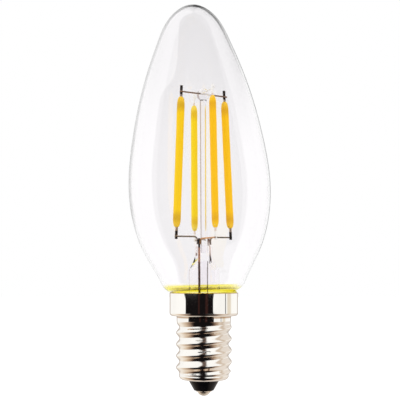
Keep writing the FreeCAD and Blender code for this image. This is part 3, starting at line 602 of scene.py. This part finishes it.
def makeCoating(name, look):
    material, tree = newMaterial("yellowCoating_" + name)
    low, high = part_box("filament_" + name)
    height = heightOf(tree)
    ends = tree.maths("MINIMUM", height - low.z, high.z - height)
    colour = tree.blend(ends.step(coat["spotFrom"], coat["spotAt"]), tint(look["tip"]), tint(look["spot"]))
    colour = tree.blend(ends.step(coat["spotAt"], coat["spotTo"]), colour, tint(look["middle"]))
    specks = grain(tree, coat["grain"], 2.0)
    colour = tree.blend(specks.step(0.35, 0.75, 0.0, coat["speckShare"]), colour, tint(coat["speck"]))
    # painted sheen on the edges of the coat
    rim = tree.node("LayerWeight", None, {"Blend": 0.35}, out="Facing")
    colour = tree.blend(rim.step(0.35, 1.0, 0.0, coat["rimShare"]), colour, tint(coat["rim"]))
    skin = tree.node("BsdfPrincipled", None, {
        "Base Color": colour, "Roughness": coat["rough"], "Specular IOR Level": coat["gloss"],
        "Normal": bump(tree, specks, 0.25, 0.00004)})
    close(tree, skin)
    return material


for name, look in filaments.items():
    yellow = makeCoating(name, look)
    wear("filament_" + name, yellow)
    makeCoat(name, yellow)
print("filaments done")


# Bare metals.

wire = {"rough": 0.2, "grain": 1400.0, "streak": (1, 1, 1)}
metals = {
    # painted reflections: one nickel in two copies, painted dark where the tabs show the dark room and
    # painted white where they show a glint; the strips and one top wire take the white copy
    "clipDark": {"colour": (84, 74, 70), "rough": 0.3, "grain": 900.0, "streak": (1, 1, 0.2)},
    "clipBright": {"colour": (255, 253, 248), "rough": 0.38, "grain": 900.0, "streak": (1, 1, 0.2),
                   "dull": 0.95, "metal": 0.2},
    "wireNickel": wire | {"colour": (176, 160, 148), "metal": 0.75},
    # marks: painted reflections, dark and bright lengths along the wire, by place in mm along one axis
    "leadLeft": wire | {
        "metal": 0.75,
        "marks": ("Z", (20.0, (84, 60, 56)), (32.2, (92, 64, 58)), (33.4, (196, 142, 112)),
                  (36.2, (190, 140, 114)), (36.6, (64, 48, 46)), (42.0, (84, 68, 62)))},
    "leadRight": wire | {
        "metal": 0.5,
        "marks": ("Z", (20.0, (84, 60, 56)), (32.0, (96, 72, 66)), (34.2, (70, 52, 50)),
                  (35.4, (246, 226, 216)), (37.4, (250, 234, 226)), (38.4, (120, 92, 84)))},
    "topWire": wire | {
        "metal": 0.6,
        "marks": ("X", (-4.0, (150, 124, 108)), (-1.0, (170, 146, 130)), (-0.4, (252, 248, 244)),
                  (2.2, (252, 248, 244)), (2.8, (170, 146, 130)), (6.0, (150, 120, 104)))},
    "armCopper": {"colour": (226, 172, 120), "rough": 0.22, "grain": 1200.0, "streak": (1, 1, 1)},
    "nickelPlate": {
        "colour": (255, 252, 246), "rough": 0.03, "grain": 240.0, "streak": (1, 1, 0.3), "bump": 0.04,
        "dull": 0.93, "rolled": (0.0166, 0.0176, 0.03, 0.0),  # the thread is less polished
        "stain": (196, 168, 142),  # brown bands: painted shade in the crease under the skirt, and a brown line at the rim
        "stained": ((0.02495, 0.0252, 0.03, 0.031), (0.0190, 0.0192, 0.0194, 0.0196))},
    "contactNickel": {"colour": (222, 206, 186), "rough": 0.2, "grain": 900.0, "streak": (1, 1, 1)},
    "solder": {"colour": (240, 234, 222), "rough": 0.36, "grain": 700.0, "streak": (1, 1, 1)},
    "canAluminium": {"colour": (214, 216, 220), "rough": 0.3, "grain": 500.0, "streak": (1, 1, 0.1)},
    "innerWire": {"colour": (222, 214, 204), "rough": 0.25, "grain": 900.0, "streak": (1, 1, 1)},
}
clips = {"pale": (236, 218, 202), "below": 0.0009, "above": 0.0006}  # painted glint: the crimped sleeves are painted paler
wires = {
    "lead_wire_front": "leadLeft", "lead_wire_back": "leadRight", "top_wire_left_right": "topWire",
    "top_wire_front_back": "clipBright", "foot_arm_front_right": "armCopper",
}


# painted reflections: colour by place along the wire
def markedColour(tree, axis, *stops):
    place = tree.node("SeparateXYZ", None, {"Vector": places(tree)}, out=axis) * 1000.0
    first, last = stops[0][0], stops[-1][0]
    shares = [((at - first) / (last - first), shade) for at, shade in stops]
    return ((place - first) / (last - first)).ramp(*shares)


def makeMetal(name, look):
    material, tree = newMaterial(name)
    cloud = grain(tree, look["grain"], 4.0, look["streak"])
    if "marks" in look:
        colour = markedColour(tree, *look["marks"])
    else:
        base = tint(look["colour"])
        dull = tuple(c * look.get("dull", 0.8) for c in base[:3]) + (1.0,)
        colour = tree.blend(cloud.step(0.3, 0.7), dull, base)
    # painted glint on the crimped sleeves
    if "crimp" in look:
        colour = tree.blend(between(heightOf(tree), *look["crimp"], 0.0001), colour, tint(look["pale"]))
    # painted shade in the crease under the skirt, and a brown line at the rim
    for low, full, over, high in look.get("stained", ()):
        height = heightOf(tree)
        band = height.step(low, full) * (1.0 - height.step(over, high))
        colour = tree.blend(band, colour, tint(look["stain"]))
    rough = cloud.step(0.3, 0.7, look["rough"] * 1.3, look["rough"] * 0.8)
    if "rolled" in look:
        rough = rough + heightOf(tree).step(*look["rolled"])
    skin = tree.node("BsdfPrincipled", None, {
        "Base Color": colour, "Metallic": look.get("metal", 1.0), "Roughness": rough,
        "Normal": bump(tree, cloud, look.get("bump", 0.12), 0.00002)})
    close(tree, skin)
    return material


metalOf = {name: makeMetal(name, look) for name, look in metals.items()}
wear("cap_shell", metalOf["nickelPlate"])
wear("contact_plate", metalOf["contactNickel"])
wear("contact_solder", metalOf["solder"])
wear("smoothing_capacitor", metalOf["canAluminium"])
for name, look in filaments.items():
    wear("filament_" + name + "_strip", metalOf["clipBright"])
    low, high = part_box("filament_" + name)
    crimp = {"crimp": (low.z - clips["below"], high.z + clips["above"]), "pale": clips["pale"]}
    clip = makeMetal(look["clip"] + "_" + name, metals[look["clip"]] | crimp)
    for end in ("head", "foot"):
        wear("filament_" + name + "_" + end + "_clip", clip)
for piece in nodes:
    if piece.startswith(("top_wire", "lead_wire", "foot_arm")):
        wear(piece, metalOf[wires.get(piece, "wireNickel")])
for piece in ("centre_wire", "side_wire"):
    wear(piece, metalOf["innerWire"])
print("metals done")


# Black glass, cement and the parts inside the cap.

paints = {
    "blackGlass": {
        "colour": (10, 9, 10), "other": (16, 14, 15), "rough": 0.06, "grain": 500.0, "bump": 0.05,
        "gloss": 0.12},
    "yellowCement": {
        "colour": (236, 224, 84), "other": (206, 196, 70), "rough": 0.6, "grain": 900.0, "bump": 0.5},
    "boardGreen": {
        "colour": (38, 96, 58), "other": (28, 78, 46), "rough": 0.4, "grain": 1500.0, "bump": 0.2},
    "chipBlack": {
        "colour": (30, 30, 32), "other": (44, 44, 46), "rough": 0.5, "grain": 3000.0, "bump": 0.3},
    "resistorBody": {
        "colour": (92, 140, 150), "other": (80, 126, 136), "rough": 0.35, "grain": 900.0, "bump": 0.1},
}


def makePaint(name, look):
    material, tree = newMaterial(name)
    cloud = grain(tree, look["grain"], 4.0)
    colour = tree.blend(cloud.step(0.35, 0.65), tint(look["other"]), tint(look["colour"]))
    skin = tree.node("BsdfPrincipled", None, {
        "Base Color": colour,
        "Roughness": cloud.step(0.2, 0.8, look["rough"] * 0.8, look["rough"] * 1.2),
        "Specular IOR Level": look.get("gloss", 0.5),
        "Normal": bump(tree, cloud, look["bump"], 0.00005)})
    close(tree, skin)
    return material


paintOf = {name: makePaint(name, look) for name, look in paints.items()}
wear("insulator", paintOf["blackGlass"])
wear("basing_cement", paintOf["yellowCement"])
wear("driver_board", paintOf["boardGreen"])
wear("fusible_resistor", paintOf["resistorBody"])
for piece in ("bridge_rectifier", "driver_chip"):
    wear(piece, paintOf["chipBlack"])
print("paints done")

bpy.context.scene.view_settings.view_transform = "Standard"
